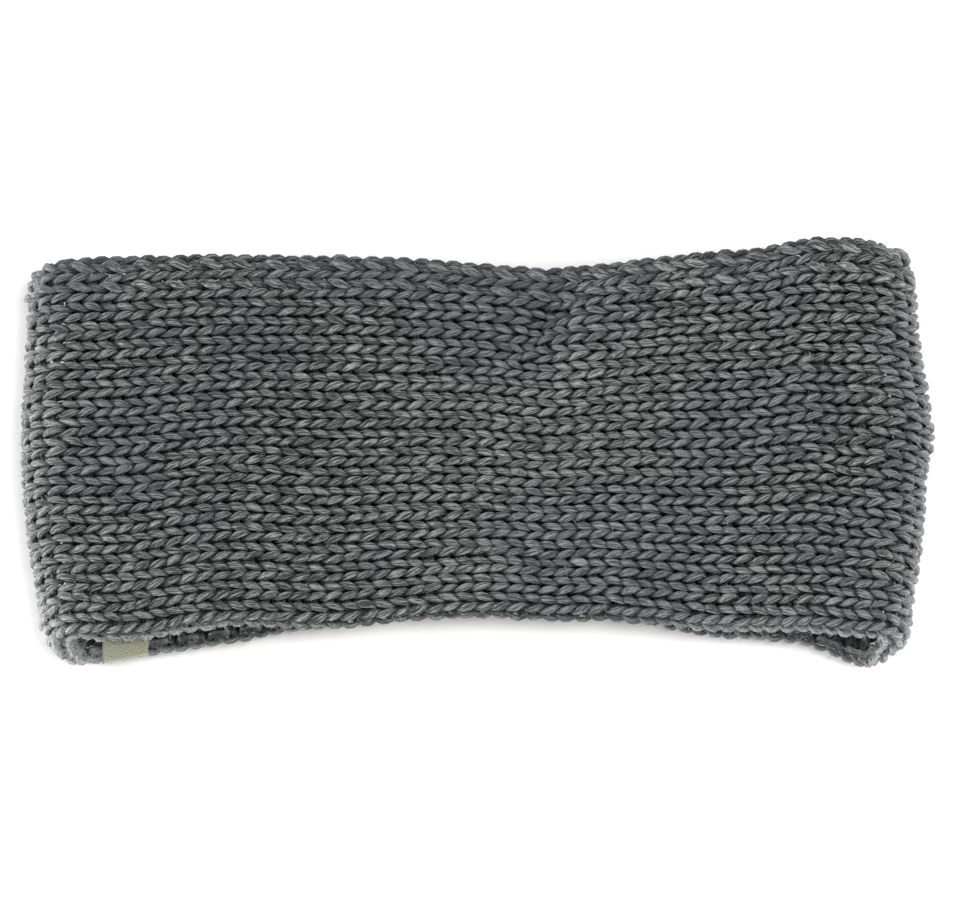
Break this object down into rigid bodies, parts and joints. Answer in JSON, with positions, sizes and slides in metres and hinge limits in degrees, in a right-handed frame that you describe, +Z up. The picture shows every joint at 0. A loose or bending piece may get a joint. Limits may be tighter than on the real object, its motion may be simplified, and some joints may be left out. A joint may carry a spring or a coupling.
{
  "type": "ear warmer headband",
  "caption": "Chunky knitted headband, one strip joined into a loop and lying flat, with a small folded woven tag inside its lower edge.",
  "frame": {"origin": "on the table it lies on, under the middle of the whole object", "axes": "+X along the flat width from the left fold to the right one, +Y across the strip towards its upper selvedge, +Z up from the table"},
  "size_m": [0.2398, 0.1142, 0.0209],
  "materials": {
    "knit": "matte chunky knit, mid grey yarn",
    "ribbon": "woven polyester ribbon, sage"
  },
  "bodies": {
    "root": {"knit_band": "knit", "woven_label": "ribbon"}
  },
  "joints": []
}
